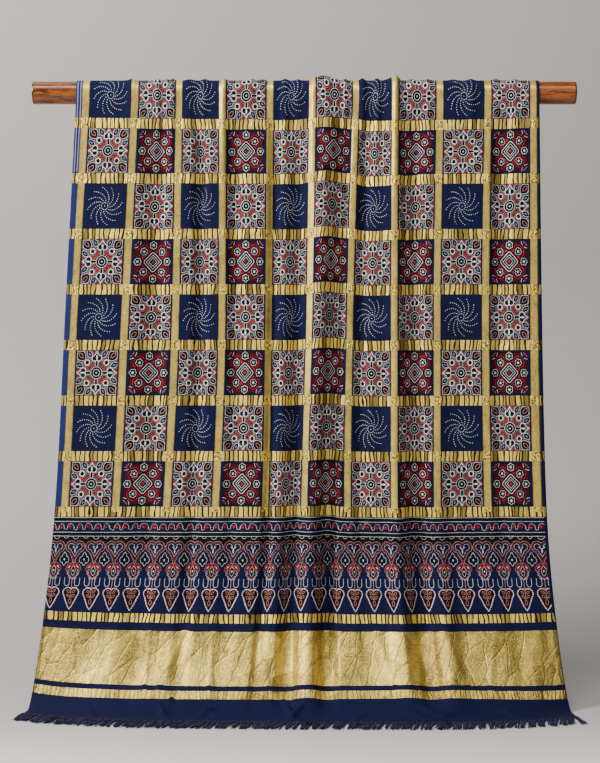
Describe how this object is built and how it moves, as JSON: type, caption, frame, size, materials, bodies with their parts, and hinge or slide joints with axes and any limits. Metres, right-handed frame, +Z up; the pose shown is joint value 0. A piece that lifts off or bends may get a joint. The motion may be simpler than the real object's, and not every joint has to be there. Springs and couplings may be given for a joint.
{
  "type": "ajrakh cloth over a wooden rod",
  "caption": "Long printed cotton cloth with gold check bands and fringed hems, draped in folds over a round wooden rod, its front hem spread on the floor.",
  "frame": {"origin": "middle of the rod, on its axis", "axes": "+X along the rod to the right as the printed face is seen, +Z up, and the printed face looks to -Y"},
  "size_m": [0.9799, 0.276, 1.1309],
  "materials": {
    "printed_cloth": "matt dyed and block-printed cotton in navy, dark red, black and white, with woven gold thread bands",
    "navy_yarn": "matt navy cotton yarn",
    "lacquered_wood": "glossy lacquer over orange-brown wood with dark grain"
  },
  "bodies": {
    "root": {"cloth": "printed_cloth", "fringe_front": "navy_yarn", "fringe_back": "navy_yarn", "rod": "lacquered_wood"}
  },
  "joints": []
}
